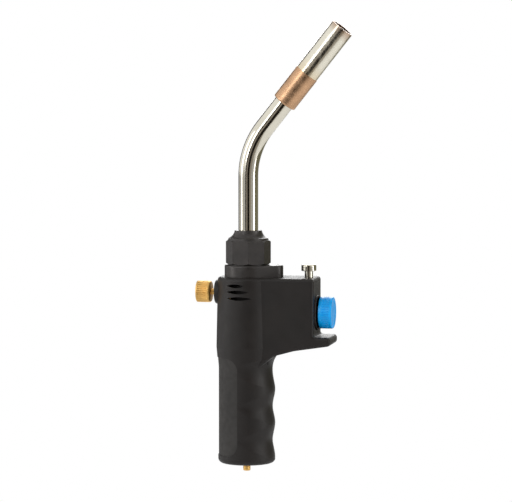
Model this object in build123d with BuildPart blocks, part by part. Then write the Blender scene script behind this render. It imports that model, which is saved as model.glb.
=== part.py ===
"""Hand-held propane torch with a trigger, a lock button, a flame knob and a bent burn tube.

Millimetres, +Z up the handle, +X forward towards the trigger, origin on the handle's axis at its bottom rim.
"""
from build123d import *
from math import cos, pi, radians, sin
import os

os.makedirs("parts", exist_ok=True)

# handle and column
handle_r = 18.4
handle_top = 62.0
column_r = 19.5
column_top_r = 18.6
column_start = 75.0
body_top = 120.0
rim_round = 3.0
top_round = 2.2
wall = 2.5
handle_bore_r = 14.6
groove_depth = 1.6
groove_pitch = 21.8
first_groove_z = 14.9

# rear grip pad
pad_front_x = -2.6
pad_bottom = 5.3
pad_top = 68.4
pad_corner = 8.0
pad_step = 0.4
pad_thick = 0.9

# trigger housing
slab_half = 14.25
slab_front = 45.8
shelf_front = 56.5
shelf_top = 82.8
shelf_bottom = 77.4
slab_edge = 1.8
slab_cavity_floor = 78.0

# trigger
trigger_z = 97.6
trigger_r = 10.1
trigger_root = 48.1
trigger_end = 56.7
trigger_travel = 4.5
bezel_front = 46.8
bezel_bore_r = 10.3
bezel_flange_r = 11.3
shank_r = 5.5
bar_back = 31.7
bar_front = 34.7
guide_rib_x = 35.0

# lock button
lock_x = 40.4
lock_head_r = 4.8
lock_neck_r = 2.65
lock_head_bottom = 124.2
lock_head_top = 128.5
lock_foot = 104.4
lock_guide_bottom = 109.0
lock_guide_r = 4.6

# flame knob
knob_z = 109.9
knob_r = 6.9
knob_back = -32.6
knob_front = -23.1
knob_boss_x = -20.3
knob_boss_r = 7.7
stem_r = 2.0

# gas train
socket_r = 12.1
socket_depth = 14.0
fitting_bottom = 1.0
pin_r = 1.8
pin_head_r = 2.35
pin_low = -5.4
pin_top = 20.0
regulator_r = 8.5
regulator_low = 26.0
cap_low = 46.8
cap_top = 60.0
chamber_r = 6.5
pipe_r = 2.5
valve_low = 84.0
valve_high = 114.5
valve_back = -9.0
valve_front = 9.0
valve_half = 7.0
passage_r = 1.0
spigot_r = 3.6
spigot_top = 124.0

# burner
burner_x = 1.0
flange_r = 15.2
flange_top = 127.7
lobe_x = 17.7
lobe_r = 6.0
boss_r = 10.0
boss_top = 140.0
tube_seat = 130.0
nut_corner_r = 14.4
nut_low = 128.2
nut_flat_top = 143.4
nut_top = 149.8
nut_turn = 11.4
tube_r = 6.35
tube_wall = 0.7
bend_z = 201.8
bend_angle = 38.3
bend_r = 50.0
collar_r = 7.95
collar_start = 37.5
collar_end = 61.5
collar_spigot_end = 66.0
flame_tube_r = 7.7
flame_tube_wall = 0.75
flame_tube_end = 98.2
electrode_r = 0.6
insulator_r = 1.5
wire_r = 0.6
wire_y = 4.75

# fits
fit = 0.05
easy = 0.1

# piezo igniter
piezo_back = 11.0
piezo_front = 27.0
piezo_low = 85.5
piezo_high = 92.0
piezo_half = 4.0
plunger_r = 2.5
plunger_z = 89.0

# screws, as (x, z) of each axis, which runs along Y
screw_points = [(12.4, 47.6), (12.4, 66.0), (40.0, 80.2), (28.0, 113.5), (-13.5, 92.0)]
screw_r = 1.5
screw_head_r = 2.9
screw_seat_y = 6.0
screw_end_y = -6.5
screw_boss_r = 3.4

tip = Vector(sin(radians(bend_angle)), 0, cos(radians(bend_angle)))
corner = Vector(burner_x, 0, bend_z)
burner_plane = Plane(origin=(burner_x, 0, 0), z_dir=(0, 0, 1))
tip_plane = Plane(origin=corner, x_dir=(0, 1, 0), z_dir=tip)
trigger_plane = Plane(origin=(0, 0, trigger_z), x_dir=(0, 1, 0), z_dir=(1, 0, 0))
plunger_plane = Plane(origin=(0, 0, plunger_z), x_dir=(0, 1, 0), z_dir=(1, 0, 0))
knob_plane = Plane(origin=(0, 0, knob_z), x_dir=(0, 1, 0), z_dir=(1, 0, 0))
lock_plane = Plane(origin=(lock_x, 0, 0), z_dir=(0, 0, 1))
lobe_plane = Plane(origin=(lobe_x, 0, 0), z_dir=(0, 0, 1))


def tube(plane, start, end, outer, inner=0.0, mode=Mode.ADD):
    """A round bar or a ring along the plane's normal, from start to end."""
    with BuildSketch(plane.offset(start)) as section:
        Circle(outer)
        if inner:
            Circle(inner, mode=Mode.SUBTRACT)
    extrude(section.sketch, amount=end - start, mode=mode)


def block(x_span, y_span, z_span, mode=Mode.ADD):
    """A box between two limits on each axis."""
    spans = (x_span, y_span, z_span)
    with Locations([tuple((low + high) / 2 for low, high in spans)]):
        Box(*[high - low for low, high in spans], mode=mode)


def turned(points, mode=Mode.ADD, at_x=0.0):
    """A solid turned about a vertical axis at at_x, from (radius, z) points."""
    plane = Plane(origin=(at_x, 0, 0), x_dir=(1, 0, 0), z_dir=(0, -1, 0))
    with BuildSketch(plane) as section:
        with BuildLine():
            Polyline(*points, close=True)
        make_face()
    revolve(section.sketch, axis=Axis((at_x, 0, 0), (0, 0, 1)), mode=mode)


def along(distance, y=0.0):
    """The point at a distance past the bend's corner, on the tip's axis or beside it."""
    return corner + tip * distance + Vector(0, y, 0)


def coil(plane, start, end, mean_r, bar_r, turns):
    """A compression spring along the plane's normal."""
    base = plane.offset(start)
    path = Helix((end - start) / turns, end - start, mean_r, center=base.origin, direction=plane.z_dir)
    with BuildSketch(Plane(origin=path @ 0, z_dir=path % 0)) as section:
        Circle(bar_r)
    sweep(section.sketch, path=path, is_frenet=True)


def body_outline(inset):
    """The turned outline of handle and column, moved in by inset."""
    return [
        (0, 0),
        (handle_r - inset, 0),
        (handle_r - inset, handle_top),
        (column_r - inset, column_start),
        (column_top_r - inset, body_top),
        (0, body_top),
    ]


def finger_wave():
    """Trim the front of the handle to finger grooves that fade out at its sides."""
    ridge_r = handle_r + groove_depth - 0.15
    first_ridge_z = first_groove_z - groove_pitch / 2
    steps = range(11)
    levels = [first_ridge_z + step * groove_pitch / 4 for step in steps]
    swing = [1 - cos(2 * pi * (z - first_ridge_z) / groove_pitch) for z in levels]
    wave = [(ridge_r - groove_depth * s / 2, z) for s, z in zip(swing, levels)]
    flare = (column_r + groove_depth, wave[-1][1] + groove_pitch / 2)
    reach = 2 * column_r
    with BuildSketch(Plane(origin=(-groove_depth, 0, 0), x_dir=(1, 0, 0), z_dir=(0, -1, 0))) as section:
        with BuildLine():
            Polyline(wave[0], (wave[0][0], -1), (0, -1), (0, body_top + 1), (reach, body_top + 1),
                     (reach, flare[1]), flare)
            Spline(*wave, flare)
        make_face()
    revolve(section.sketch, axis=Axis((-groove_depth, 0, 0), (0, 0, 1)), mode=Mode.INTERSECT)


def pad_window(mode):
    """The rounded outline of the grip pad, seen from the side, cut right through."""
    back = -2 * column_r
    with BuildSketch(Plane.XZ) as outline:
        with Locations(((back + pad_front_x) / 2, (pad_bottom + pad_top) / 2)):
            RectangleRounded(pad_front_x - back, pad_top - pad_bottom, pad_corner)
    extrude(outline.sketch, amount=2 * column_r, both=True, mode=mode)


def vents(mode):
    """Three lens-shaped air slots through both sides of the column."""
    slots = [(-9.7, 2.0, 115.2), (-9.7, 4.7, 111.3), (-9.7, 6.8, 107.2)]
    above = 1.0
    below = 1.3
    with BuildSketch(Plane.XZ) as openings:
        for left, right, level in slots:
            middle = (left + right) / 2
            with BuildLine():
                ThreePointArc((left, level), (middle, level + above), (right, level))
                ThreePointArc((right, level), (middle, level - below), (left, level))
            make_face()
    extrude(openings.sketch, amount=column_r + 1, both=True, mode=mode)


with BuildPart() as grip_recess:
    pad_window(Mode.ADD)
    turned(body_outline(pad_step + pad_thick), Mode.SUBTRACT)

with BuildPart() as slab:
    with BuildSketch(Plane.XZ) as side:
        with BuildLine():
            Polyline((0, body_top), (slab_front, body_top), (slab_front, shelf_top), (shelf_front, shelf_top),
                     (shelf_front, shelf_bottom), (33, 73.8), (20, 70.2), (10, handle_top), (0, handle_top),
                     close=True)
        make_face()
        for spot, radius in [((slab_front, body_top), 2.2), ((slab_front, shelf_top), 2.0),
                             ((shelf_front, shelf_top), 2.2), ((shelf_front, shelf_bottom), 2.2),
                             ((33, 73.8), 20.0), ((20, 70.2), 8.0)]:
            fillet(side.vertices().sort_by_distance(spot)[0], radius)
    extrude(amount=slab_half, both=True)
    fillet(slab.faces().sort_by(Axis.Y)[0].edges().filter_by(lambda edge: edge.center().X > 12), slab_edge)
    fillet(slab.faces().sort_by(Axis.Y)[-1].edges().filter_by(lambda edge: edge.center().X > 12), slab_edge)

with BuildPart() as housing:
    turned(body_outline(0))
    fillet(housing.edges().group_by(Axis.Z)[0], rim_round)
    fillet(housing.edges().group_by(Axis.Z)[-1], top_round)
    finger_wave()
    add(slab.part)
    tube(knob_plane, knob_boss_x, knob_boss_x + 7, knob_boss_r)
    fillet(housing.edges().group_by(Axis.X)[0], 1.0)
    # the hollow
    cavity_r = column_r - wall
    cavity_top_r = column_top_r - wall
    cavity_top = body_top - wall
    turned([(0, -1), (handle_bore_r, -1), (handle_bore_r, column_start - 5), (cavity_r, column_start + 1),
            (cavity_top_r, cavity_top), (0, cavity_top)], Mode.SUBTRACT)
    slab_inner = slab_half - wall
    block((0, slab_front - wall), (-slab_inner, slab_inner), (slab_cavity_floor, cavity_top), Mode.SUBTRACT)
    # ribs and bosses that hold what is inside
    tube(Plane.XY, 43, 45, handle_bore_r + easy, regulator_r + fit)
    for side_sign in (-1, 1):
        for low in (valve_low, 99.0):
            ends = sorted((side_sign * (valve_half + easy), side_sign * (cavity_r + easy)))
            block((-3, 3), ends, (low, low + 4))
        ends = sorted((side_sign * (piezo_half + easy), side_sign * (slab_inner + easy)))
        block((14, 17), ends, (slab_cavity_floor - easy, piezo_high))
    block((guide_rib_x, guide_rib_x + 2), (-slab_inner - easy, slab_inner + easy),
          (slab_cavity_floor - easy, trigger_z + 10))
    tube(trigger_plane, guide_rib_x - 1, guide_rib_x + 3, shank_r + 0.08, mode=Mode.SUBTRACT)
    for x, z in screw_points:
        boss_half = slab_inner + easy if x > handle_bore_r else 8.4
        tube(Plane(origin=(x, 0, z), x_dir=(1, 0, 0), z_dir=(0, 1, 0)), -boss_half, boss_half, screw_boss_r)
    # holes
    tube(burner_plane, cavity_top - 1, body_top + 1, 5.9, mode=Mode.SUBTRACT)
    tube(lock_plane, cavity_top - 1, body_top + 1, lock_neck_r + 0.07, mode=Mode.SUBTRACT)
    tube(lock_plane, lock_guide_bottom - 1, cavity_top, lock_guide_r + fit, mode=Mode.SUBTRACT)
    tube(lobe_plane, cavity_top - 1, body_top + 1, screw_r + easy, mode=Mode.SUBTRACT)
    tube(trigger_plane, slab_front - wall - 1, slab_front + 1, bezel_bore_r + 0.65, mode=Mode.SUBTRACT)
    tube(knob_plane, knob_boss_x - 1, -cavity_r + 4, stem_r + 0.08, mode=Mode.SUBTRACT)
    vents(Mode.SUBTRACT)
    add(grip_recess.part, mode=Mode.SUBTRACT)
    for x, z in screw_points:
        screw_plane = Plane(origin=(x, 0, z), x_dir=(1, 0, 0), z_dir=(0, 1, 0))
        tube(screw_plane, screw_end_y - 0.5, 0, screw_r, mode=Mode.SUBTRACT)
        tube(screw_plane, 0, screw_seat_y + 1, screw_r + easy, mode=Mode.SUBTRACT)
        tube(screw_plane, screw_seat_y, column_r + 2, screw_head_r + 0.2, mode=Mode.SUBTRACT)

with BuildPart() as right_shell:
    add(housing.part)
    split(bisect_by=Plane.XZ, keep=Keep.TOP)

with BuildPart() as left_shell:
    add(housing.part)
    split(bisect_by=Plane.XZ, keep=Keep.BOTTOM)

with BuildPart() as shell_screws:
    for x, z in screw_points:
        screw_plane = Plane(origin=(x, 0, z), x_dir=(1, 0, 0), z_dir=(0, 1, 0))
        tube(screw_plane, screw_end_y, screw_seat_y, screw_r)
        tube(screw_plane, screw_seat_y, screw_seat_y + 2.2, screw_head_r)
        tube(screw_plane, screw_seat_y + 1.2, screw_seat_y + 2.2, 1.1, mode=Mode.SUBTRACT)

with BuildPart() as rear_grip_pad:
    pad_window(Mode.ADD)
    turned(body_outline(pad_step), Mode.INTERSECT)
    turned(body_outline(pad_step + pad_thick), Mode.SUBTRACT)

with BuildPart() as inlet_fitting:
    web_low = fitting_bottom + socket_depth
    tube(Plane.XY, fitting_bottom, web_low, handle_bore_r - easy, socket_r)
    tube(Plane.XY, web_low, 22, handle_bore_r - easy)
    tube(Plane.XY, 22, regulator_low, regulator_r)
    tube(Plane.XY, web_low, pin_top, pin_r, mode=Mode.SUBTRACT)
    tube(Plane.XY, pin_top, regulator_low, passage_r, mode=Mode.SUBTRACT)

with BuildPart() as inlet_seal:
    tube(Plane.XY, web_low - 2, web_low, socket_r - 0.5, 5.0)

with BuildPart() as depressor_pin:
    tube(Plane.XY, pin_low, pin_low + 3, pin_head_r)
    fillet(depressor_pin.edges().group_by(Axis.Z)[0], 0.8)
    tube(Plane.XY, pin_low + 3, pin_top, pin_r)

with BuildPart() as gas_filter:
    tube(Plane.XY, regulator_low, regulator_low + 3, 4.0)

with BuildPart() as regulator_body:
    tube(Plane.XY, regulator_low, cap_low - 0.8, regulator_r)
    tube(Plane.XY, regulator_low, regulator_low + 3, 4.0, mode=Mode.SUBTRACT)
    tube(Plane.XY, regulator_low + 3, 33, passage_r, mode=Mode.SUBTRACT)
    tube(Plane.XY, 33, cap_low - 0.8, chamber_r, mode=Mode.SUBTRACT)

with BuildPart() as regulator_diaphragm:
    tube(Plane.XY, cap_low - 0.8, cap_low, regulator_r, passage_r)

with BuildPart() as regulator_cap:
    tube(Plane.XY, cap_low, cap_top, regulator_r)
    tube(Plane.XY, cap_low, cap_top - 3, chamber_r, mode=Mode.SUBTRACT)
    tube(Plane.XY, cap_top - 4, cap_top, passage_r, mode=Mode.SUBTRACT)

with BuildPart() as regulator_spring:
    coil(Plane.XY, cap_low + 0.65, cap_top - 3.65, 4.5, 0.5, 5)

with BuildPart() as gas_pipe:
    tube(Plane.XY, cap_top, valve_low, pipe_r, 1.4)

with BuildPart() as valve_body:
    block((valve_back, valve_front), (-valve_half, valve_half), (valve_low, valve_high))
    block((valve_front, lobe_x + 3.5), (-5, 5), (valve_high - 6, valve_high))
    tube(burner_plane, valve_high, spigot_top, spigot_r)
    tube(Plane.XY, valve_low, spigot_top, passage_r, mode=Mode.SUBTRACT)
    tube(trigger_plane, -6, valve_front, stem_r + fit, mode=Mode.SUBTRACT)
    tube(knob_plane, valve_back, 3, stem_r + fit, mode=Mode.SUBTRACT)
    tube(lobe_plane, valve_high - 5, valve_high, screw_r, mode=Mode.SUBTRACT)

with BuildPart() as needle_gland:
    tube(knob_plane, valve_back - 4, valve_back, 4.5, stem_r + fit)

with BuildPart() as gas_jet:
    tube(burner_plane, spigot_top, tube_seat, 3.0)
    tube(burner_plane, spigot_top, tube_seat - 2, passage_r + 0.4, mode=Mode.SUBTRACT)
    tube(burner_plane, tube_seat - 2, tube_seat, 0.3, mode=Mode.SUBTRACT)

with BuildPart() as mixer_tube:
    tube(burner_plane, tube_seat + 2, nut_top, tube_r - tube_wall - fit, 3.0)
    block((burner_x - 0.9, burner_x + 0.9), (wire_y - 1.1, tube_r), (tube_seat, nut_top + 1), Mode.SUBTRACT)

with BuildPart() as burner_flange:
    with BuildSketch(Plane.XY.offset(body_top)):
        with Locations((burner_x, 0)):
            Circle(flange_r)
        with Locations((lobe_x, 0)):
            Circle(lobe_r)
        make_hull()
    extrude(amount=flange_top - body_top)
    fillet(burner_flange.edges().group_by(Axis.Z)[-1], 1.0)
    tube(burner_plane, flange_top, nut_low - 0.1, boss_r + 2.5)
    tube(burner_plane, flange_top, boss_top, boss_r)
    tube(burner_plane, body_top, tube_seat, 5.9, mode=Mode.SUBTRACT)
    tube(burner_plane, tube_seat, boss_top, tube_r + fit, mode=Mode.SUBTRACT)
    with Locations((lobe_x, 0, flange_top)):
        CounterSinkHole(screw_r + easy, 3.0, depth=flange_top - body_top)

with BuildPart() as flange_screw:
    turned([(0, valve_high - 4.5), (screw_r, valve_high - 4.5), (screw_r, flange_top - 1.5), (2.9, flange_top - 0.1),
            (0, flange_top - 0.1)], at_x=lobe_x)

with BuildPart() as tube_nut:
    with BuildSketch(burner_plane.offset(nut_low)):
        RegularPolygon(nut_corner_r, 8, major_radius=True, rotation=nut_turn)
    extrude(amount=nut_top - nut_low)
    with BuildSketch(Plane(origin=(burner_x, 0, 0), x_dir=(1, 0, 0), z_dir=(0, -1, 0))):
        with BuildLine():
            Polyline((8.7, nut_top), (0, nut_top), (0, nut_low), (nut_corner_r - 1.0, nut_low),
                     (nut_corner_r, nut_low + 0.7), (nut_corner_r, nut_flat_top - 0.9),
                     (nut_corner_r - 1.2, nut_flat_top), (12.5, nut_flat_top + 1.4))
            ThreePointArc((12.5, nut_flat_top + 1.4), (9.9, nut_flat_top + 3.4), (8.7, nut_top))
        make_face()
    revolve(axis=Axis((burner_x, 0, 0), (0, 0, 1)), mode=Mode.INTERSECT)
    tube(burner_plane, nut_low, boss_top + 0.5, boss_r + fit, mode=Mode.SUBTRACT)
    tube(burner_plane, boss_top, nut_top, tube_r + fit, mode=Mode.SUBTRACT)

with BuildPart() as burn_tube:
    with BuildLine() as bend:
        FilletPolyline((burner_x, 0, tube_seat), corner, along(collar_end), radius=bend_r)
    with BuildSketch(burner_plane.offset(tube_seat)):
        Circle(tube_r)
        Circle(tube_r - tube_wall, mode=Mode.SUBTRACT)
    sweep(path=bend.line)

with BuildPart() as tip_collar:
    tube(tip_plane, collar_start, collar_end, collar_r)
    fillet(tip_collar.edges().group_by(Axis(corner, tip))[0], 1.0)
    tube(tip_plane, collar_end, collar_spigot_end, flame_tube_r - flame_tube_wall - fit)
    tube(tip_plane, collar_start, collar_spigot_end, tube_r + fit, mode=Mode.SUBTRACT)

with BuildPart() as flame_tube:
    tube(tip_plane, collar_end, flame_tube_end, flame_tube_r, flame_tube_r - flame_tube_wall)

with BuildPart() as flame_holder:
    tube(tip_plane, collar_spigot_end, collar_spigot_end + 3.5, flame_tube_r - flame_tube_wall - fit,
         insulator_r + fit)
    with BuildSketch(tip_plane.offset(collar_spigot_end)):
        with PolarLocations(4.2, 6):
            Circle(1.1)
    extrude(amount=3.5, mode=Mode.SUBTRACT)

with BuildPart() as electrode_insulator:
    tube(tip_plane, collar_end - 5.5, collar_end + 14.5, insulator_r, electrode_r)

with BuildPart() as spark_electrode:
    tube(tip_plane, collar_end - 5.5, collar_end + 22.5, electrode_r)

with BuildPart() as ignition_wire:
    with BuildLine() as lead:
        FilletPolyline((22, piezo_half, plunger_z), (22, 9, plunger_z), (22, 9, 116), (burner_x, wire_y, 116),
                       (burner_x, wire_y, bend_z), along(42, wire_y), along(50), along(collar_end - 5.5),
                       radius=[2.0, 2.5, 3.0, bend_r, 6.0, 4.0])
    with BuildSketch(Plane(origin=(22, piezo_half, plunger_z), z_dir=(0, 1, 0))):
        Circle(wire_r)
    sweep(path=lead.line)

with BuildPart() as piezo_igniter:
    block((piezo_back, piezo_front), (-piezo_half, piezo_half), (piezo_low, piezo_high))
    tube(plunger_plane, piezo_back + 1.5, piezo_front, plunger_r + fit, mode=Mode.SUBTRACT)

with BuildPart() as piezo_plunger:
    tube(plunger_plane, piezo_back + 1.5 + trigger_travel + 0.5, bar_back, plunger_r)

with BuildPart() as trigger_slider:
    block((bar_back, bar_front), (-5, 5), (plunger_z - plunger_r, trigger_z + shank_r))
    tube(trigger_plane, bar_front, trigger_root + 4, shank_r)
    block((lock_x - lock_neck_r - 0.5, trigger_root + 0.1), (-lock_neck_r - 0.45, lock_neck_r + 0.45),
          (lock_foot - 3.5, lock_foot), Mode.SUBTRACT)

with BuildPart() as valve_stem:
    tube(trigger_plane, 0, bar_back, stem_r)

with BuildPart() as trigger_spring:
    coil(trigger_plane, valve_front + 0.6, bar_back - 0.6, 3.0, 0.4, 9)

with BuildPart() as trigger_button:
    tube(trigger_plane, trigger_root, trigger_end, trigger_r)
    fillet(trigger_button.edges().group_by(Axis.X)[-1], 1.4)
    tube(trigger_plane, trigger_root, trigger_root + 4, shank_r, mode=Mode.SUBTRACT)

with BuildPart() as trigger_bezel:
    tube(trigger_plane, slab_front - wall, slab_front, bezel_bore_r + 0.6)
    tube(trigger_plane, slab_front, bezel_front, bezel_flange_r)
    fillet(trigger_bezel.edges().group_by(Axis.X)[-1], 0.8)
    tube(trigger_plane, slab_front - wall, bezel_front, bezel_bore_r, mode=Mode.SUBTRACT)

with BuildPart() as lock_button:
    tube(lock_plane, lock_head_bottom, lock_head_top, lock_head_r)
    fillet(lock_button.edges().group_by(Axis.Z)[-1], 1.2)
    fillet(lock_button.edges().group_by(Axis.Z)[0], 0.5)
    tube(lock_plane, lock_foot, lock_head_bottom, lock_neck_r)

with BuildPart() as lock_clip:
    tube(lock_plane, 115.0, 116.0, 3.8, lock_neck_r)

with BuildPart() as lock_guide:
    tube(lock_plane, lock_guide_bottom, cavity_top, lock_guide_r)
    tube(lock_plane, lock_guide_bottom + 1.5, cavity_top, 3.9, mode=Mode.SUBTRACT)
    tube(lock_plane, lock_guide_bottom, cavity_top, lock_neck_r + 0.07, mode=Mode.SUBTRACT)

with BuildPart() as lock_spring:
    coil(lock_plane, lock_guide_bottom + 1.8, 114.7, 3.25, 0.2, 3)

with BuildPart() as flame_knob:
    tube(knob_plane, knob_back, knob_front, knob_r)
    chamfer(flame_knob.edges().group_by(Axis.X)[0], 0.7)
    chamfer(flame_knob.edges().group_by(Axis.X)[-1], 1.2)
    tube(knob_plane, knob_front - 5, knob_front, stem_r, mode=Mode.SUBTRACT)

with BuildPart() as needle_stem:
    tube(knob_plane, knob_front - 5, 1, stem_r)

pieces = {
    "right_shell": right_shell,
    "left_shell": left_shell,
    "shell_screws": shell_screws,
    "rear_grip_pad": rear_grip_pad,
    "inlet_fitting": inlet_fitting,
    "inlet_seal": inlet_seal,
    "depressor_pin": depressor_pin,
    "gas_filter": gas_filter,
    "regulator_body": regulator_body,
    "regulator_diaphragm": regulator_diaphragm,
    "regulator_spring": regulator_spring,
    "regulator_cap": regulator_cap,
    "gas_pipe": gas_pipe,
    "valve_body": valve_body,
    "needle_gland": needle_gland,
    "gas_jet": gas_jet,
    "mixer_tube": mixer_tube,
    "burner_flange": burner_flange,
    "flange_screw": flange_screw,
    "tube_nut": tube_nut,
    "burn_tube": burn_tube,
    "tip_collar": tip_collar,
    "flame_tube": flame_tube,
    "flame_holder": flame_holder,
    "electrode_insulator": electrode_insulator,
    "spark_electrode": spark_electrode,
    "ignition_wire": ignition_wire,
    "piezo_igniter": piezo_igniter,
    "piezo_plunger": piezo_plunger,
    "trigger_slider": trigger_slider,
    "valve_stem": valve_stem,
    "trigger_spring": trigger_spring,
    "trigger_button": trigger_button,
    "trigger_bezel": trigger_bezel,
    "lock_button": lock_button,
    "lock_clip": lock_clip,
    "lock_guide": lock_guide,
    "lock_spring": lock_spring,
    "flame_knob": flame_knob,
    "needle_stem": needle_stem,
}

for name, piece in pieces.items():
    piece.part.label = name
    export_step(piece.part, f"parts/{name}.step")
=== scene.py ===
"""Finishes, detailed controls and a plain studio for a hand-held propane torch."""

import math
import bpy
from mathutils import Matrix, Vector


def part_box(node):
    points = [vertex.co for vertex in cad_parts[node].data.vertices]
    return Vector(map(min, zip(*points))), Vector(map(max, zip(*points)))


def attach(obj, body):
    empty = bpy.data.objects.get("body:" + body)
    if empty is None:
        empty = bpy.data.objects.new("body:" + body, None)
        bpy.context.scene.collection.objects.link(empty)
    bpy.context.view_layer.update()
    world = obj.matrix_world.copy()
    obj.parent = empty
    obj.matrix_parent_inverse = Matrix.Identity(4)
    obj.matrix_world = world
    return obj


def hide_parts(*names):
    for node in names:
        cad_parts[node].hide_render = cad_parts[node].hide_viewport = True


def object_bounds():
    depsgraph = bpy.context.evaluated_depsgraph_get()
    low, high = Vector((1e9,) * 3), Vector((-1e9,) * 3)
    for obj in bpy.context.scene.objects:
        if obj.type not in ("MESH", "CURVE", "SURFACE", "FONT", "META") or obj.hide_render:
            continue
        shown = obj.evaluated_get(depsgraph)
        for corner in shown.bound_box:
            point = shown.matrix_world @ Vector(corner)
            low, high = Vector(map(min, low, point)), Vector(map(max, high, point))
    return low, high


bl_info = {
    "name": "Propane Torch",
    "version": (1, 0, 0),
    "blender": (4, 5, 0),
    "location": "View3D > Sidebar > Torch",
    "description": "Finishes the torch's pieces and sets it in a plain studio",
    "category": "Object",
}

import bpy
from mathutils import Vector

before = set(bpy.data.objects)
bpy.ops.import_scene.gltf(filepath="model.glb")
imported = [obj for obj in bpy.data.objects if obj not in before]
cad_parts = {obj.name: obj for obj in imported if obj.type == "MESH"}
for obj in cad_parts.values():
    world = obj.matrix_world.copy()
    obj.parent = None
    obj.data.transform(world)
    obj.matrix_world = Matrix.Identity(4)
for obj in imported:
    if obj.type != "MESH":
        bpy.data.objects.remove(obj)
CAD_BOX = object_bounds()

MM = 0.001
STUDIO_MIDDLE = Vector((6.0, 0.0, 136.4))

STEEL_NODES = ["burn_tube", "lock_button"]
BLACK_PLASTIC_NODES = ["right_shell", "left_shell", "trigger_bezel", "trigger_slider", "piezo_plunger",
                       "lock_guide"]
BLACK_METAL_NODES = ["burner_flange", "tube_nut", "valve_body", "gas_pipe"]
BRASS_NODES = ["inlet_fitting", "depressor_pin", "gas_filter", "needle_gland",
               "gas_jet", "mixer_tube", "flame_holder", "needle_stem", "flame_knob"]
ZINC_NODES = ["regulator_body", "regulator_cap"]
BRIGHT_NODES = ["shell_screws", "regulator_spring", "flange_screw", "spark_electrode", "valve_stem",
                "trigger_spring", "lock_clip", "lock_spring"]
SEAL_NODES = ["inlet_seal", "regulator_diaphragm"]
CERAMIC_NODES = ["electrode_insulator", "piezo_igniter"]

# cards that bright metal mirrors: name, start and end angle from the camera to its right, brightness
CARD_DISTANCE = 0.55
CARD_HEIGHT = 1.6
REFLECTED_CARDS = (
    ("dark_card_far_left", -172, -140, (0.03, 0.028, 0.025)),
    ("dark_card_left", -37, -24, (0.012, 0.01, 0.008)),
    ("grey_card_middle", -24, -12, (0.3, 0.27, 0.24)),
    ("dark_card_middle", -12, 12, (0.012, 0.01, 0.008)),
    ("grey_card_right", 12, 34, (0.34, 0.31, 0.27)),
    ("olive_card", 76, 150, (0.2, 0.19, 0.13)),
)

# ---------------------------------------------------------------- materials

def linear(colour):
    """The linear value of a colour given as it looks on screen."""
    return tuple(c / 12.92 if c <= 0.04045 else ((c + 0.055) / 1.055) ** 2.4 for c in colour) + (1.0,)


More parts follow.
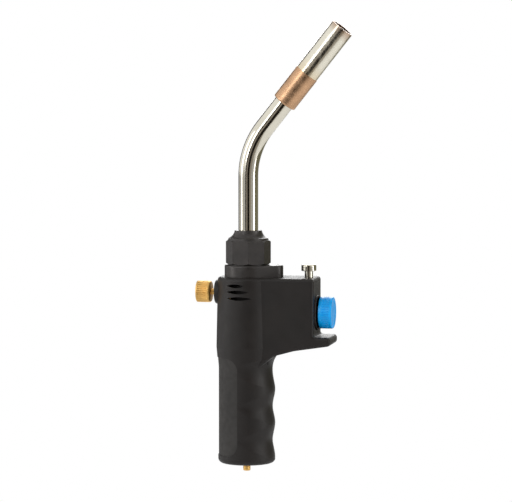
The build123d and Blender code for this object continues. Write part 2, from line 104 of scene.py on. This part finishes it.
class Finish:
    """One procedural material, built up from Object coordinates."""

    def __init__(self, name, colour, rough, metallic=0.0, specular=0.5):
        self.material = bpy.data.materials.new(name)
        self.material.use_nodes = True
        self.tree = self.material.node_tree
        self.shader = self.tree.nodes["Principled BSDF"]
        self.shader.inputs["Base Color"].default_value = linear(colour)
        self.shader.inputs["Roughness"].default_value = rough
        self.shader.inputs["Metallic"].default_value = metallic
        self.shader.inputs["Specular IOR Level"].default_value = specular
        self.material.diffuse_color = linear(colour)
        self.place = self.tree.nodes.new("ShaderNodeTexCoord")
        self.normal = None

    def noise(self, scale, detail=3.0, stretch=(1.0, 1.0, 1.0)):
        """A noise pattern with features of about 1/scale metres, stretched."""
        mapping = self.tree.nodes.new("ShaderNodeMapping")
        mapping.inputs["Scale"].default_value = stretch
        self.tree.links.new(self.place.outputs["Object"], mapping.inputs["Vector"])
        noise = self.tree.nodes.new("ShaderNodeTexNoise")
        noise.inputs["Scale"].default_value = scale
        noise.inputs["Detail"].default_value = detail
        self.tree.links.new(mapping.outputs["Vector"], noise.inputs["Vector"])
        return noise.outputs["Fac"]

    def spread(self, source, low, high, start=0.3, end=0.7):
        """source, from start to end, spread over low to high."""
        remap = self.tree.nodes.new("ShaderNodeMapRange")
        remap.inputs["From Min"].default_value = start
        remap.inputs["From Max"].default_value = end
        remap.inputs["To Min"].default_value = low
        remap.inputs["To Max"].default_value = high
        self.tree.links.new(source, remap.inputs["Value"])
        return remap.outputs["Result"]

    def vary_rough(self, source, low, high):
        self.tree.links.new(self.spread(source, low, high), self.shader.inputs["Roughness"])

    def tint(self, source, stops):
        """Colour from a ramp of (place, colour) stops."""
        ramp = self.tree.nodes.new("ShaderNodeValToRGB")
        ramp.color_ramp.elements[0].position, ramp.color_ramp.elements[1].position = stops[0][0], stops[-1][0]
        ramp.color_ramp.elements[0].color, ramp.color_ramp.elements[-1].color = (
            linear(stops[0][1]), linear(stops[-1][1]))
        for position, colour in stops[1:-1]:
            ramp.color_ramp.elements.new(position).color = linear(colour)
        self.tree.links.new(source, ramp.inputs["Fac"])
        self.tree.links.new(ramp.outputs["Color"], self.shader.inputs["Base Color"])

    def bump(self, source, depth, strength=1.0):
        """Relief of the given depth in metres, added to any earlier relief."""
        node = self.tree.nodes.new("ShaderNodeBump")
        node.inputs["Strength"].default_value = strength
        node.inputs["Distance"].default_value = depth
        self.tree.links.new(source, node.inputs["Height"])
        if self.normal is not None:
            self.tree.links.new(self.normal, node.inputs["Normal"])
        self.normal = node.outputs["Normal"]
        self.tree.links.new(self.normal, self.shader.inputs["Normal"])

    def distance_along(self, origin, direction, length):
        """0 to 1 along a line, from its origin to its end."""
        shift = self.tree.nodes.new("ShaderNodeVectorMath")
        shift.operation = "SUBTRACT"
        shift.inputs[1].default_value = origin
        self.tree.links.new(self.place.outputs["Object"], shift.inputs[0])
        dot = self.tree.nodes.new("ShaderNodeVectorMath")
        dot.operation = "DOT_PRODUCT"
        dot.inputs[1].default_value = direction
        self.tree.links.new(shift.outputs["Vector"], dot.inputs[0])
        return self.spread(dot.outputs["Value"], 0.0, 1.0, 0.0, length)

    def mixed(self, first, second, share):
        """Two values mixed, share of the second."""
        mix = self.tree.nodes.new("ShaderNodeMix")
        mix.inputs["Factor"].default_value = share
        self.tree.links.new(first, mix.inputs["A"])
        self.tree.links.new(second, mix.inputs["B"])
        return mix.outputs["Result"]


def black_plastic(settings):
    """Moulded nylon with a fine spark-eroded texture and faint rub marks."""
    finish = Finish("black plastic", settings.plastic, 0.5, specular=0.3)
    dark = tuple(c * 0.86 for c in settings.plastic)
    light = tuple(c * 1.14 for c in settings.plastic)
    finish.tint(finish.noise(60.0, 4.0), [(0.3, dark), (0.7, light)])
    finish.vary_rough(finish.noise(140.0, 5.0), 0.42, 0.56)
    finish.bump(finish.noise(2600.0, 2.0), 0.00006, 0.55)
    finish.bump(finish.noise(260.0, 2.0), 0.00004, 0.3)
    return finish.material


def grip_rubber(settings):
    """Soft-touch pad, paler and duller than the plastic."""
    finish = Finish("grip rubber", settings.rubber, 0.7, specular=0.35)
    dark = tuple(c * 0.9 for c in settings.rubber)
    light = tuple(c * 1.1 for c in settings.rubber)
    finish.tint(finish.noise(90.0, 5.0), [(0.3, dark), (0.7, light)])
    finish.vary_rough(finish.noise(300.0, 4.0), 0.62, 0.78)
    finish.bump(finish.noise(3400.0, 2.0), 0.00005, 0.5)
    return finish.material


def black_metal(settings):
    """Black oxide coating on cast and turned metal, a little shiny, with fine pits."""
    finish = Finish("black metal", settings.black_metal, 0.38, metallic=0.35, specular=0.6)
    dark = tuple(c * 0.85 for c in settings.black_metal)
    light = tuple(c * 1.2 for c in settings.black_metal)
    finish.tint(finish.noise(110.0, 5.0), [(0.3, dark), (0.7, light)])
    finish.vary_rough(finish.noise(420.0, 5.0), 0.3, 0.46)
    finish.bump(finish.noise(1500.0, 3.0), 0.00005, 0.4)
    return finish.material


def polished_steel(settings):
    """Bright drawn steel with faint marks along its length and small stains."""
    finish = Finish("polished steel", settings.steel, 0.16, metallic=1.0)
    dull = tuple(c * 0.93 for c in settings.steel)
    finish.tint(finish.noise(45.0, 6.0), [(0.35, settings.steel), (0.68, dull)])
    marks = finish.noise(900.0, 4.0, stretch=(1.0, 1.0, 0.04))
    finish.vary_rough(marks, 0.07, 0.13)
    finish.bump(marks, 0.000002, 0.2)
    return finish.material


def tip_steel(settings):
    """The flame tube: steel with straw and bronze heat tints towards its mouth."""
    low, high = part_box("flame_tube")
    start = Vector((low.x, 0.0, low.z))
    run = Vector((high.x - low.x, 0.0, high.z - low.z))
    finish = Finish("tip steel", settings.steel, 0.2, metallic=1.0)
    length = finish.distance_along(start, run.normalized(), run.length)
    place = finish.mixed(length, finish.noise(60.0, 3.0), 0.08)
    steel = settings.steel
    straw = (0.86, 0.79, 0.66)
    bronze = (0.66, 0.53, 0.43)
    slate = (0.47, 0.44, 0.42)
    finish.tint(place, [(0.1, straw), (0.35, steel), (0.72, steel), (0.86, bronze), (0.94, slate)])
    finish.vary_rough(finish.noise(600.0, 4.0, stretch=(1.0, 1.0, 0.3)), 0.14, 0.26)
    finish.bump(finish.noise(900.0, 3.0), 0.000002, 0.2)
    return finish.material


def brass(settings):
    """Turned brass, slightly dulled in patches."""
    finish = Finish("brass", settings.brass, 0.4, metallic=1.0)
    dull = tuple(c * 0.93 for c in settings.brass)
    finish.tint(finish.noise(220.0, 5.0), [(0.38, settings.brass), (0.7, dull)])
    finish.vary_rough(finish.noise(500.0, 5.0), 0.38, 0.5)
    finish.bump(finish.noise(1800.0, 3.0), 0.0000005, 0.4)
    return finish.material


def bronze(settings):
    """The collar: pinkish brass that heat has dulled."""
    finish = Finish("bronze", settings.bronze, 0.34, metallic=1.0)
    warm = tuple(c * 0.88 for c in settings.bronze)
    finish.tint(finish.noise(130.0, 5.0), [(0.35, settings.bronze), (0.7, warm)])
    finish.vary_rough(finish.noise(450.0, 5.0), 0.28, 0.42)
    finish.bump(finish.noise(1400.0, 3.0), 0.0000005, 0.4)
    return finish.material


def blue_plastic(settings):
    """The push button: glossy moulded plastic with a faint grain."""
    finish = Finish("blue plastic", settings.blue, 0.36, specular=0.3)
    deep = tuple(c * 0.93 for c in settings.blue)
    finish.tint(finish.noise(180.0, 4.0), [(0.3, deep), (0.7, settings.blue)])
    finish.vary_rough(finish.noise(500.0, 4.0), 0.27, 0.4)
    finish.bump(finish.noise(2400.0, 2.0), 0.00002, 0.35)
    return finish.material


def cast_zinc(settings):
    finish = Finish("cast zinc", (0.72, 0.72, 0.71), 0.45, metallic=1.0)
    finish.vary_rough(finish.noise(400.0, 5.0), 0.36, 0.55)
    finish.bump(finish.noise(1200.0, 4.0), 0.00003, 0.5)
    return finish.material


def bright_steel(settings):
    finish = Finish("bright steel", (0.78, 0.78, 0.77), 0.25, metallic=1.0)
    finish.vary_rough(finish.noise(700.0, 5.0), 0.2, 0.34)
    finish.bump(finish.noise(1600.0, 3.0), 0.00001, 0.4)
    return finish.material


def seal_rubber(settings):
    finish = Finish("seal rubber", (0.09, 0.09, 0.09), 0.65)
    finish.vary_rough(finish.noise(500.0, 4.0), 0.55, 0.75)
    finish.bump(finish.noise(2000.0, 3.0), 0.00003, 0.5)
    return finish.material


def ceramic(settings):
    finish = Finish("ceramic", (0.93, 0.92, 0.88), 0.3)
    finish.vary_rough(finish.noise(500.0, 4.0), 0.22, 0.4)
    finish.bump(finish.noise(1400.0, 3.0), 0.00002, 0.3)
    return finish.material


def wire_jacket(settings):
    finish = Finish("wire jacket", (0.72, 0.16, 0.12), 0.45)
    finish.vary_rough(finish.noise(600.0, 4.0), 0.38, 0.52)
    finish.bump(finish.noise(1800.0, 3.0), 0.00002, 0.3)
    return finish.material


def paint(material, names):
    """Gives CAD nodes a material, in every slot they have."""
    for name in names:
        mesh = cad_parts[name].data
        mesh.materials.clear()
        mesh.materials.append(material)


# ---------------------------------------------------------------- modelling

def start_round(name, low, high, segments):
    """A round bar along X that fills a CAD node's box, with its place in its mesh."""
    bpy.ops.object.select_all(action="DESELECT")
    bpy.ops.mesh.primitive_cylinder_add(
        vertices=segments, radius=(high.y - low.y) / 2, depth=high.x - low.x, end_fill_type="NGON",
        location=(low + high) / 2, rotation=(0.0, math.pi / 2, 0.0))
    piece = bpy.context.object
    piece.name = name
    bpy.ops.object.transform_apply(location=True, rotation=True, scale=True)
    return piece


def select(piece, kind, test):
    """Edit mode with just the faces or edges whose centre and normal pass the test selected."""
    bpy.ops.object.mode_set(mode="EDIT")
    bpy.ops.mesh.select_mode(type=kind)
    bpy.ops.mesh.select_all(action="DESELECT")
    bpy.ops.object.mode_set(mode="OBJECT")
    mesh = piece.data
    if kind == "FACE":
        for face in mesh.polygons:
            face.select = test(face.center, face.normal)
    else:
        for edge in mesh.edges:
            ends = [mesh.vertices[i].co for i in edge.vertices]
            edge.select = test(ends[0], ends[1])
    bpy.ops.object.mode_set(mode="EDIT")


def ring_cut(x):
    """A cut right round the active piece at x."""
    bpy.ops.object.mode_set(mode="EDIT")
    bpy.ops.mesh.select_all(action="SELECT")
    bpy.ops.mesh.bisect(plane_co=(x, 0.0, 0.0), plane_no=(1.0, 0.0, 0.0))
    bpy.ops.object.mode_set(mode="OBJECT")


def flutes(piece, centre, count, x_low, x_high, depth):
    """Grooves along X, evenly round the bar, between two places."""
    def in_groove(middle, normal):
        angle = math.atan2(middle.z - centre.z, middle.y - centre.y) % (2 * math.pi)
        return (x_low < middle.x < x_high and abs(normal.x) < 0.5
                and int(angle / (2 * math.pi) * count * 4) % 4 < 2)

    select(piece, "FACE", in_groove)
    bpy.ops.mesh.inset(thickness=depth * 0.45, use_even_offset=True, use_boundary=True)
    bpy.ops.transform.shrink_fatten(value=-depth)
    bpy.ops.object.mode_set(mode="OBJECT")


def round_edge(piece, x, offset, steps):
    """Rounds the edges that lie at x."""
    def at_x(first, second):
        return abs(first.x - x) < 1e-6 and abs(second.x - x) < 1e-6

    select(piece, "EDGE", at_x)
    bpy.ops.mesh.bevel(offset=offset, segments=steps, profile=0.5, affect="EDGES")
    bpy.ops.object.mode_set(mode="OBJECT")


def sink_face(piece, x, margin, depth):
    """Insets the end face at x and sinks it by depth along X."""
    def end_face(middle, normal):
        return abs(middle.x - x) < 1e-6 and abs(normal.x) > 0.9

    select(piece, "FACE", end_face)
    bpy.ops.mesh.inset(thickness=margin)
    bpy.ops.transform.translate(value=(depth, 0.0, 0.0))
    bpy.ops.mesh.inset(thickness=margin)
    bpy.ops.object.mode_set(mode="OBJECT")


def finish_piece(piece, node, body, material, bevel):
    """Bevels, smooths and outward faces, then its material, body and CAD node."""
    modifier = piece.modifiers.new("edges", "BEVEL")
    modifier.width = bevel
    modifier.segments = 2
    modifier.limit_method = "ANGLE"
    modifier.angle_limit = math.radians(35)
    bpy.ops.object.modifier_apply(modifier="edges")
    bpy.ops.object.mode_set(mode="EDIT")
    bpy.ops.mesh.select_all(action="SELECT")
    bpy.ops.mesh.remove_doubles(threshold=1e-7)
    bpy.ops.mesh.normals_make_consistent(inside=False)
    bpy.ops.object.mode_set(mode="OBJECT")
    bpy.ops.object.shade_smooth_by_angle(angle=math.radians(32))
    piece.data.materials.clear()
    piece.data.materials.append(material)
    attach(piece, body)
    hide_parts(node)


# ---------------------------------------------------------------- settings

def colour(name, note, default):
    return bpy.props.FloatVectorProperty(name=name, description=note, subtype="COLOR", size=3, min=0.0,
                                         max=1.0, default=default)


class TorchSettings(bpy.types.PropertyGroup):
    plastic: colour("Plastic", "Handle and housing, as it looks on screen", (0.095, 0.08, 0.072))
    rubber: colour("Rubber", "Rear grip pad", (0.17, 0.162, 0.155))
    black_metal: colour("Black metal", "Flange and tube nut", (0.16, 0.145, 0.137))
    steel: colour("Steel", "Burn tube and lock button", (0.88, 0.86, 0.8))
    brass: colour("Brass", "Flame knob and fittings", (0.88, 0.71, 0.42))
    bronze: colour("Bronze", "Collar on the burn tube", (0.8, 0.64, 0.5))
    blue: colour("Blue", "Trigger button", (0.0, 0.63, 0.93))
    button_ribs: bpy.props.IntProperty(name="Button ribs", description="Ribs round the trigger button",
                                       default=36, min=8)
    knob_ribs: bpy.props.IntProperty(name="Knob ribs", description="Ribs round the flame knob",
                                     default=30, min=8)
    rib_depth: bpy.props.FloatProperty(name="Rib depth", description="Depth of the grooves between ribs",
                                       default=0.45 * MM, min=0.0, unit="LENGTH")
    view_width: bpy.props.FloatProperty(name="View width", description="Width seen by the camera",
                                        default=327.7 * MM, unit="LENGTH")
    lens: bpy.props.FloatProperty(name="Lens", description="Focal length in millimetres", default=200.0)
    turn: bpy.props.FloatProperty(name="Turn", description="Camera's turn round the torch",
                                  default=math.radians(11.4), subtype="ANGLE")
    tilt: bpy.props.FloatProperty(name="Tilt", description="Camera's height above level",
                                  default=math.radians(4.3), subtype="ANGLE")


class TORCH_OT_finishes(bpy.types.Operator):
    """Gives every carried-over piece its own finish"""
    bl_idname = "torch.finishes"
    bl_label = "Piece finishes"

    def execute(self, context):
        settings = context.scene.torch
        paint(black_plastic(settings), BLACK_PLASTIC_NODES)
        paint(grip_rubber(settings), ["rear_grip_pad"])
        paint(black_metal(settings), BLACK_METAL_NODES)
        paint(polished_steel(settings), STEEL_NODES)
        paint(tip_steel(settings), ["flame_tube"])
        paint(brass(settings), BRASS_NODES)
        paint(bronze(settings), ["tip_collar"])
        paint(cast_zinc(settings), ZINC_NODES)
        paint(bright_steel(settings), BRIGHT_NODES)
        paint(seal_rubber(settings), SEAL_NODES)
        paint(ceramic(settings), CERAMIC_NODES)
        paint(wire_jacket(settings), ["ignition_wire"])
        return {"FINISHED"}


class TORCH_OT_trigger_button(bpy.types.Operator):
    """Models the ribbed blue push button"""
    bl_idname = "torch.trigger_button"
    bl_label = "Trigger button"

    def execute(self, context):
        settings = context.scene.torch
        low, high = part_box("trigger_button")
        centre = (low + high) / 2
        piece = start_round("blue_push_button", low, high, settings.button_ribs * 4)
        rib_start = low.x + 2.2 * MM
        rib_end = high.x - 2.1 * MM
        ring_cut(rib_start)
        ring_cut(rib_end)
        sink_face(piece, high.x, 2.4 * MM, -0.5 * MM)
        round_edge(piece, high.x, 0.9 * MM, 4)
        flutes(piece, centre, settings.button_ribs, rib_start, rib_end, settings.rib_depth)
        finish_piece(piece, "trigger_button", "trigger", blue_plastic(settings), 0.1 * MM)
        return {"FINISHED"}


class TORCH_OT_flame_knob(bpy.types.Operator):
    """Models the ribbed brass knob that sets the flame"""
    bl_idname = "torch.flame_knob"
    bl_label = "Flame knob"

    def execute(self, context):
        settings = context.scene.torch
        low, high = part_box("flame_knob")
        centre = (low + high) / 2
        piece = start_round("brass_flame_knob", low, high, settings.knob_ribs * 4)
        rib_start = low.x + 1.1 * MM
        rib_end = high.x - 1.9 * MM
        ring_cut(rib_start)
        ring_cut(rib_end)
        sink_face(piece, low.x, 1.6 * MM, 0.4 * MM)
        round_edge(piece, low.x, 0.6 * MM, 3)
        round_edge(piece, high.x, 1.1 * MM, 3)
        flutes(piece, centre, settings.knob_ribs, rib_start, rib_end, settings.rib_depth)
        finish_piece(piece, "flame_knob", "knob", brass(settings), 0.08 * MM)
        return {"FINISHED"}


class TORCH_OT_stage(bpy.types.Operator):
    """Sets the pale floor, the soft lights and the camera"""
    bl_idname = "torch.stage"
    bl_label = "Studio"

    def execute(self, context):
        settings = context.scene.torch
        scene = context.scene
        scene.view_settings.view_transform = "Standard"
        low = CAD_BOX[0]
        middle = STUDIO_MIDDLE * MM
        back = Vector((math.sin(settings.turn) * math.cos(settings.tilt),
                       -math.cos(settings.turn) * math.cos(settings.tilt), math.sin(settings.tilt)))
        camera_data = bpy.data.cameras.new("camera")
        camera_data.lens = settings.lens
        camera_data.sensor_width = 36.0
        camera_data.clip_end = 100.0
        camera = bpy.data.objects.new("camera", camera_data)
        scene.collection.objects.link(camera)
        camera.location = middle + back * (settings.view_width * settings.lens / camera_data.sensor_width)
        camera.rotation_euler = (-back).to_track_quat("-Z", "Y").to_euler()
        scene.camera = camera
        self.white_world(scene)
        self.floor(low.z - 80 * MM)
        side = Vector((back.y, -back.x, 0.0)).normalized() * -1
        self.panel("key light", middle - side * 0.5 + back * 0.75 + Vector((0, 0, 0.35)),
                   middle, 0.5, 0.7, 4.0)
        self.panel("right light", middle + side * 0.8 + back * 0.25 + Vector((0, 0, 0.15)),
                   middle, 0.2, 0.9, 3.0)
        self.panel("left light", middle - side * 0.9 + back * 0.1, middle, 0.25, 0.9, 2.0)
        self.panel("rear light", middle - back * 0.9 + Vector((0, 0, 0.5)), middle, 0.6, 0.6, 5.0)
        level = Vector((back.x, back.y, 0.0)).normalized()
        for name, start, end, shade in REFLECTED_CARDS:
            self.card(name, middle, level, side, math.radians(start), math.radians(end), shade)
        return {"FINISHED"}

    def white_world(self, scene):
        """White to the camera and in reflections, softer as light."""
        world = bpy.data.worlds.new("studio")
        scene.world = world
        world.use_nodes = True
        tree = world.node_tree
        background = tree.nodes["Background"]
        background.inputs["Color"].default_value = (1.0, 1.0, 1.0, 1.0)
        rays = tree.nodes.new("ShaderNodeLightPath")
        seen = tree.nodes.new("ShaderNodeMath")
        seen.operation = "MAXIMUM"
        tree.links.new(rays.outputs["Is Camera Ray"], seen.inputs[0])
        tree.links.new(rays.outputs["Is Glossy Ray"], seen.inputs[1])
        strength = tree.nodes.new("ShaderNodeMapRange")
        strength.inputs["To Min"].default_value = 0.5
        strength.inputs["To Max"].default_value = 1.0
        tree.links.new(seen.outputs["Value"], strength.inputs["Value"])
        tree.links.new(strength.outputs["Result"], background.inputs["Strength"])

    def floor(self, level):
        bpy.ops.object.select_all(action="DESELECT")
        bpy.ops.mesh.primitive_plane_add(size=30.0, location=(0.0, 0.0, level))
        floor = bpy.context.object
        floor.name = "floor"
        material = bpy.data.materials.new("pale floor")
        material.use_nodes = True
        tree = material.node_tree
        shader = tree.nodes["Principled BSDF"]
        shader.inputs["Base Color"].default_value = (0.9, 0.9, 0.9, 1.0)
        shader.inputs["Roughness"].default_value = 0.9
        rays = tree.nodes.new("ShaderNodeLightPath")
        glow = tree.nodes.new("ShaderNodeEmission")
        mix = tree.nodes.new("ShaderNodeMixShader")
        output = tree.nodes["Material Output"]
        tree.links.new(rays.outputs["Is Camera Ray"], mix.inputs["Fac"])
        tree.links.new(shader.outputs["BSDF"], mix.inputs[1])
        tree.links.new(glow.outputs["Emission"], mix.inputs[2])
        tree.links.new(mix.outputs["Shader"], output.inputs["Surface"])
        floor.data.materials.append(material)

    def panel(self, name, place, target, width, height, power):
        data = bpy.data.lights.new(name, "AREA")
        data.shape = "RECTANGLE"
        data.size = width
        data.size_y = height
        data.energy = power
        lamp = bpy.data.objects.new(name, data)
        bpy.context.scene.collection.objects.link(lamp)
        lamp.location = place
        lamp.rotation_euler = (target - place).to_track_quat("-Z", "Y").to_euler()

    def card(self, name, middle, level, side, start, end, shade):
        """An upright card round the torch from one angle to another, seen only in reflections."""
        half = (end - start) / 2
        facing = level * math.cos(start + half) + side * math.sin(start + half)
        bpy.ops.object.select_all(action="DESELECT")
        bpy.ops.mesh.primitive_plane_add(size=1.0, location=middle + facing * CARD_DISTANCE)
        card = bpy.context.object
        card.name = name
        card.scale = (2 * CARD_DISTANCE * math.tan(half), CARD_HEIGHT, 1.0)
        card.rotation_euler = (-facing).to_track_quat("-Z", "Y").to_euler()
        material = bpy.data.materials.new(name)
        material.use_nodes = True
        tree = material.node_tree
        glow = tree.nodes.new("ShaderNodeEmission")
        glow.inputs["Color"].default_value = tuple(shade) + (1.0,)
        tree.links.new(glow.outputs["Emission"], tree.nodes["Material Output"].inputs["Surface"])
        card.data.materials.append(material)
        card.visible_camera = False
        card.visible_diffuse = False
        card.visible_shadow = False


class TORCH_PT_panel(bpy.types.Panel):
    """Lists the torch's steps and settings"""
    bl_idname = "TORCH_PT_panel"
    bl_label = "Torch"
    bl_space_type = "VIEW_3D"
    bl_region_type = "UI"
    bl_category = "Torch"

    def draw(self, context):
        settings = context.scene.torch
        for name in settings.bl_rna.properties.keys():
            if name not in {"rna_type", "name"}:
                self.layout.prop(settings, name)
        for step in STEPS:
            self.layout.operator(step.bl_idname)


STEPS = (TORCH_OT_finishes, TORCH_OT_trigger_button, TORCH_OT_flame_knob, TORCH_OT_stage)
CLASSES = (TorchSettings,) + STEPS + (TORCH_PT_panel,)


def register():
    for item in CLASSES:
        bpy.utils.register_class(item)
    bpy.types.Scene.torch = bpy.props.PointerProperty(type=TorchSettings)


def unregister():
    del bpy.types.Scene.torch
    for item in reversed(CLASSES):
        bpy.utils.unregister_class(item)


def main():
    register()
    bpy.ops.torch.finishes()
    bpy.ops.torch.trigger_button()
    bpy.ops.torch.flame_knob()
    bpy.ops.torch.stage()


if __name__ == "__main__":
    main()
